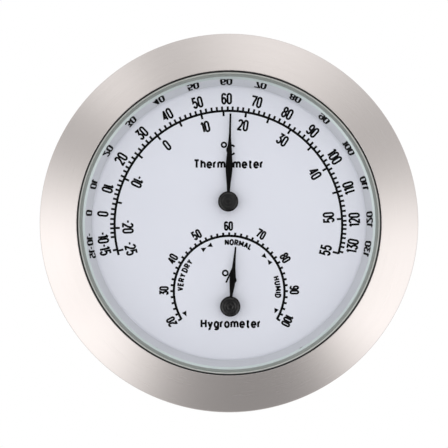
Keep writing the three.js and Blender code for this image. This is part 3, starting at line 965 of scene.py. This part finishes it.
def digit(ch, w, h):
    """Centre lines of a tall narrow numeral in a w by h box. Returns (width used, [(points, closed)])."""
    r, q = w / 2, w * 0.62
    if ch == "0":
        return w, [(arc(r, h - q, r, q, 0, 180, 12) + arc(r, q, r, q, 180, 360, 12), True)]
    if ch == "1":
        return w * 0.52, [([(0, h * 0.80), (w * 0.47, h), (w * 0.47, 0)], False)]
    if ch == "2":
        return w, [(arc(r, h - q, r, q, 172, -20, 12) + [(w * 0.80, h * 0.48), (0.02 * w, h * 0.06), (0, 0), (w, 0)], False)]
    if ch == "3":
        return w, [([(0, h), (w * 0.95, h), (w * 0.42, h * 0.6)] + arc(r, h * 0.28, r, h * 0.28, 70, -165, 14), False)]
    if ch == "4":
        return w, [([(w * 0.78, 0), (w * 0.78, h), (0, h * 0.27), (w * 1.08, h * 0.27)], False)]
    if ch == "5":
        return w, [([(w * 0.95, h), (w * 0.08, h), (w * 0.04, h * 0.54)] + arc(r, h * 0.31, r, h * 0.31, 120, -160, 14), False)]
    if ch == "6":
        return w, [
            (arc(r, h * 0.29, r, h * 0.29, 0, 360, 20), True),
            (arc(r, h - q, r, q, 15, 180, 10) + [(0, h * 0.29)], False),
        ]
    if ch == "7":
        return w, [([(0, h * 0.90), (0, h), (w, h), (w * 0.93, h * 0.80), (w * 0.55, h * 0.38), (w * 0.40, 0)], False)]
    if ch == "8":
        return w, [
            (arc(r, h * 0.27, r, h * 0.27, 0, 360, 20), True),
            (arc(r, h * 0.77, r * 0.92, h * 0.23, 0, 360, 20), True),
        ]
    if ch == "9":
        return w, [
            (arc(r, h * 0.71, r, h * 0.29, 0, 360, 20), True),
            ([(w, h * 0.71)] + arc(r, q, r, q, 0, -165, 10), False),
        ]
    if ch == "-":
        return w * 0.62, [([(0, h * 0.5), (w * 0.62, h * 0.5)], False)]
    raise ValueError(ch)


def letter(ch, w, c, x, d):
    """Centre lines of a sans letter. w width, c cap height, x small-letter height, d descender."""
    r = w / 2
    if ch == "T":
        return [([(0, c), (w, c)], False), ([(r, c), (r, 0)], False)]
    if ch == "H":
        return [([(0, 0), (0, c)], False), ([(w, 0), (w, c)], False), ([(0, c * 0.52), (w, c * 0.52)], False)]
    if ch == "h":
        return [([(0, 0), (0, c)], False), ([(0, x * 0.5)] + arc(r, x * 0.62, r, x * 0.38, 180, 0, 10) + [(w, 0)], False)]
    if ch == "r":
        return [([(0, 0), (0, x)], False), ([(0, x * 0.5)] + arc(w, x * 0.55, w, x * 0.45, 180, 85, 7), False)]
    if ch == "m":
        s = w / 4
        return [
            ([(0, 0), (0, x)], False),
            ([(0, x * 0.5)] + arc(s, x * 0.62, s, x * 0.38, 180, 0, 8) + [(w / 2, 0)], False),
            ([(w / 2, x * 0.5)] + arc(w / 2 + s, x * 0.62, s, x * 0.38, 180, 0, 8) + [(w, 0)], False),
        ]
    if ch == "o":
        return [(arc(r, x / 2, r, x / 2, 0, 360, 24), True)]
    if ch == "e":
        return [([(0.02 * w, x * 0.5), (w, x * 0.5)] + arc(r, x / 2, r, x / 2, 0, 322, 20), False)]
    if ch == "t":
        return [([(w * 0.42, x * 1.32), (w * 0.42, x * 0.14), (w * 0.62, 0), (w, 0)], False), ([(0, x), (w, x)], False)]
    if ch == "y":
        return [([(0, x), (r, 0)], False), ([(w, x), (r, 0), (r * 0.72, -d * 0.8), (r * 0.3, -d), (0, -d)], False)]
    if ch == "g":
        return [
            (arc(r, x / 2, r, x / 2, 0, 360, 24), True),
            ([(w, x), (w, -d * 0.35)] + arc(r, -d * 0.35, r, d * 0.65, 0, -150, 8), False),
        ]
    if ch == "C":
        return [(arc(r, c / 2, r, c / 2, 42, 318, 22), False)]
    if ch == "V":
        return [([(0, c), (r, 0), (w, c)], False)]
    if ch == "E":
        return [([(w, c), (0, c), (0, 0), (w, 0)], False), ([(0, c * 0.5), (w * 0.85, c * 0.5)], False)]
    if ch in "RP":
        lines = [([(0, 0), (0, c), (w * 0.55, c)] + arc(w * 0.55, c * 0.745, w * 0.42, c * 0.255, 90, -90, 8) + [(0, c * 0.49)], False)]
        return lines + ([([(w * 0.5, c * 0.49), (w, 0)], False)] if ch == "R" else [])
    if ch == "Y":
        return [([(0, c), (r, c * 0.48), (w, c)], False), ([(r, c * 0.48), (r, 0)], False)]
    if ch == "D":
        return [([(0, 0), (0, c), (w * 0.4, c)] + arc(w * 0.4, c / 2, w * 0.6, c / 2, 90, -90, 12) + [(0, 0)], True)]
    if ch == "N":
        return [([(0, 0), (0, c), (w, 0), (w, c)], False)]
    if ch == "O":
        return [(arc(r, c / 2, r, c / 2, 0, 360, 22), True)]
    if ch == "M":
        return [([(0, 0), (0, c), (r, c * 0.25), (w, c), (w, 0)], False)]
    if ch == "A":
        return [([(0, 0), (r, c), (w, 0)], False), ([(w * 0.18, c * 0.32), (w * 0.82, c * 0.32)], False)]
    if ch == "L":
        return [([(0, c), (0, 0), (w, 0)], False)]
    if ch == "U":
        return [([(0, c), (0, c * 0.32)] + arc(r, c * 0.32, r, c * 0.32, 180, 360, 10) + [(w, c)], False)]
    if ch == "I":
        return [([(0, 0), (0, c)], False)]
    raise ValueError(ch)


def polar(centre, radius, deg):
    """Point at an angle clockwise from 12 o'clock."""
    a = math.radians(deg)
    return (centre[0] + radius * math.sin(a), centre[1] + radius * math.cos(a))


def place(quads, origin, deg, flipped=False):
    """Text space (right, up) to the dial, turned to an angle on a scale. Flipped text has its tops towards the scale's centre."""
    a = math.radians(deg)
    right, up = (math.cos(a), -math.sin(a)), (math.sin(a), math.cos(a))
    if flipped:
        right, up = (-right[0], -right[1]), (-up[0], -up[1])
    return [[(origin[0] + u * right[0] + v * up[0], origin[1] + u * right[1] + v * up[1]) for u, v in q] for q in quads]


def number(text, width, height, line, gap):
    """Each numeral as a group of quads, centred on (0, 0)."""
    w, h = width - line, height - line
    made, at = [], 0.0
    for ch in text:
        used, lines = digit(ch, w, h)
        quads = []
        for pts, closed in lines:
            quads += stroke([(at + line / 2 + px, line / 2 + py) for px, py in pts], line, closed)
        made.append(quads)
        at += used + line + gap
    total = at - gap
    return [[[(u - total / 2, v - height / 2) for u, v in q] for q in quads] for quads in made]


def word(text, widths, cap, small, descend, line, gap):
    """Letters as groups of quads; returns them with the word's whole length. They start at (0, 0) on the base line."""
    made, at = [], 0.0
    for ch in text:
        if ch == " ":
            at += widths[ch] + gap
            continue
        wd = widths[ch]
        quads = []
        inner = max(wd - line, 0.0)
        for pts, closed in letter(ch, inner, cap - line, small - line, descend):
            quads += stroke([(at + line / 2 + px, line / 2 + py) for px, py in pts], line, closed)
        made.append((at + wd / 2, quads))
        at += wd + gap
    return made, at - gap


def scale_line(centre, radius, a0, a1, line, ticks, steps):
    """An arc with its ticks, as one group. ticks are (angle, inner radius, outer radius)."""
    quads = stroke([polar(centre, radius, a0 + (a1 - a0) * k / steps) for k in range(steps + 1)], line)
    for deg, r0, r1 in ticks:
        quads += stroke([polar(centre, r0, deg), polar(centre, r1, deg)], line * 0.9)
    return quads


T_CENTRE, T_RADIUS = (-0.21, -0.57), 39.40
F_TICKS = [-102.6, -96.1, -94.0, -91.8, -89.7, -87.2, -84.8, -82.3, -79.7, -77.2, -74.8, -72.6, -70.2, -67.9, -65.4, -62.7, -60.4, -57.7, -55.0, -52.4, -49.7, -47.0, -44.4, -41.7, -38.6, -35.8, -32.8, -29.9, -27.2, -24.4, -21.7, -19.0, -16.3, -13.7, -11.1, -8.3, -5.7, -3.1, -0.3, 2.1, 4.7, 7.3, 10.1, 12.7, 15.3, 17.9, 20.6, 23.3, 26.1, 28.8, 31.6, 34.6, 37.6, 40.5, 43.2, 45.8, 48.4, 51.1, 53.8, 56.5, 59.1, 61.4, 64.0, 66.5, 68.9, 71.1, 73.3, 75.7, 78.2, 80.7, 83.2, 85.7, 88.1, 90.1, 92.1, 94.5, 96.6, 99.0, 101.1, 103.6]
C_TICKS = [-103.3, -91.7, -78.6, -66.1, -52.2, -38.6, -25.4, -13.8, -2.5, 9.0, 20.8, 33.2, 46.8, 60.2, 73.3, 87.1, 104.6]
F_LABELS = {"-15": -102.0, "-10": -96.5, "0": -85.1, "10": -73.1, "20": -58.4, "30": -43.4, "40": -29.1, "50": -14.2, "60": -0.8, "70": 13.0, "80": 27.9, "90": 42.0, "100": 57.3, "110": 73.1, "120": 87.8, "130": 99.8}
C_LABELS = {"-25": -104.5, "-20": -92.0, "-10": -65.2, "0": -37.7, "10": -13.3, "20": 8.4, "30": 32.5, "40": 59.4, "50": 85.9, "55": 104.6}
H_CENTRE, H_RADIUS = (0.07, -23.59), 19.15
H_LABELS = {"20": -117.9, "30": -89.6, "40": -60.2, "50": -30.0, "60": -0.6, "70": 29.2, "80": 59.2, "90": 88.9, "100": 116.7}

ticks = [(a, T_RADIUS, 40.95) for a in F_TICKS]
ticks += [(a, 37.35 if a in (C_TICKS[0], C_TICKS[-1]) else 37.6, T_RADIUS) for a in C_TICKS]
groups = [scale_line(T_CENTRE, T_RADIUS, -105.5, 104.9, 0.80, ticks, 210)]
for labels, radius, size in ((F_LABELS, 43.62, 4.05), (C_LABELS, 34.80, 4.05)):
    for text, deg in labels.items():
        flipped = abs(deg) > 64.0 and not (radius < 40 and text == "40")
        digits = text.lstrip("-")
        for quads in number(digits, 1.90, size, 0.69, -0.04):
            groups.append(place(quads, polar(T_CENTRE, radius, deg), deg, flipped))
        if text.startswith("-"):
            off = math.degrees((1.85 if digits[0] == "1" else 2.3) / radius)
            for quads in number("-", 1.90, size, 0.62, -0.04):
                groups.append(place(quads, polar(T_CENTRE, radius, deg + off), deg + off, flipped))
put("dial_print_thermometer", union_plate("dial_print_thermometer", groups, INK_LOW, INK_TOP), [INK], "case")

ticks = [(-120 + 6 * k, H_RADIUS, 20.36) for k in range(41)]
groups = [scale_line(H_CENTRE, H_RADIUS, -120.5, 120.5, 0.82, ticks, 140)]
for text, deg in H_LABELS.items():
    for quads in number(text, 1.60, 3.34, 0.66, -0.04):
        groups.append(place(quads, polar(H_CENTRE, 22.57, deg), deg))
zone = {"V": 1.56, "E": 1.32, "R": 1.46, "Y": 1.48, " ": 0.20, "D": 1.50, "N": 1.54, "O": 1.64, "M": 1.80, "A": 1.62, "L": 1.26, "H": 1.50, "U": 1.48, "I": 0.47}
for text, a0, a1 in (("VERY DRY", -90.0, -51.0), ("NORMAL", -5.3, 27.6), ("HUMID", 72.2, 98.0)):
    radius, height = 16.96, 2.24
    letters, length = word(text, zone, height, height, 0.5, 0.565, 0.0)
    slots = len(text) - 1
    gap = (math.radians(a1 - a0) * radius - length) / slots
    letters, length = word(text, zone, height, height, 0.5, 0.565, gap)
    for mid, quads in letters:
        deg = (a0 + a1) / 2 + math.degrees((mid - length / 2) / radius)
        groups.append(place([[(u - mid, v - height / 2) for u, v in q] for q in quads], polar(H_CENTRE, radius, deg), deg))
for deg, way, at in ((-117.5, -1, 17.13), (-30.6, 1, 17.0), (-23.3, -1, 17.15), (45.7, 1, 17.2), (53.6, -1, 17.2), (113.2, 1, 17.5)):
    tri = [(-0.86 * way, 0.84), (-0.86 * way, -0.84), (0.92 * way, 0.0)]
    groups.append(place([tri], polar(H_CENTRE, at, deg), deg))
put("dial_print_hygrometer", union_plate("dial_print_hygrometer", groups, INK_LOW, INK_TOP), [INK], "case")

title = {"T": 2.20, "h": 1.90, "e": 2.04, "r": 1.32, "m": 2.92, "o": 2.02, "t": 1.62, "H": 2.20, "y": 2.00, "g": 1.94}
groups = []
for text, x0, x1, base, line in (("Thermometer", -12.3, 11.94, 18.84, 0.71), ("Hygrometer", -9.86, 11.06, -36.42, 0.71)):
    _, length = word(text, title, 3.26, 2.56, 0.74, line, 0.0)
    gap = (x1 - x0 - length) / (len(text) - 1)
    for _, quads in word(text, title, 3.26, 2.56, 0.74, line, gap)[0]:
        groups.append([[(u + x0, v + base) for u, v in q] for q in quads])
# Unit signs: degree ring with C, and a per cent sign, each partly under its pointer.
groups.append(stroke(arc(-1.75, 27.08, 0.80, 0.80, 0, 360, 24), 0.62, True))
for pts, closed in letter("C", 2.9, 3.2, 0, 0):
    groups.append(stroke([(px - 0.62, py + 23.75) for px, py in pts], 0.66, closed))
groups.append(stroke(arc(-1.27, -17.33, 0.88, 0.88, 0, 360, 24), 0.62, True))
groups.append(stroke([(-1.05, -20.65), (2.0, -14.2)], 0.62))
groups.append(stroke(arc(1.50, -19.75, 0.86, 0.86, 0, 360, 24), 0.58, True))
put("dial_print_words", union_plate("dial_print_words", groups, INK_LOW, INK_TOP), [INK], "case")


# ------------------------------------------------------------------ floor
bm = bmesh.new()
bmesh.ops.create_circle(bm, cap_ends=True, segments=96, radius=2.5)
for vert in bm.verts:
    vert.co.z = -0.7
me = bpy.data.meshes.new("floor")
bm.to_mesh(me)
bm.free()
me.materials.append(mat_floor())
floor = bpy.data.objects.new("floor", me)
scene.collection.objects.link(floor)
floor.visible_glossy = False  # the steel mirrors the studio, not the floor
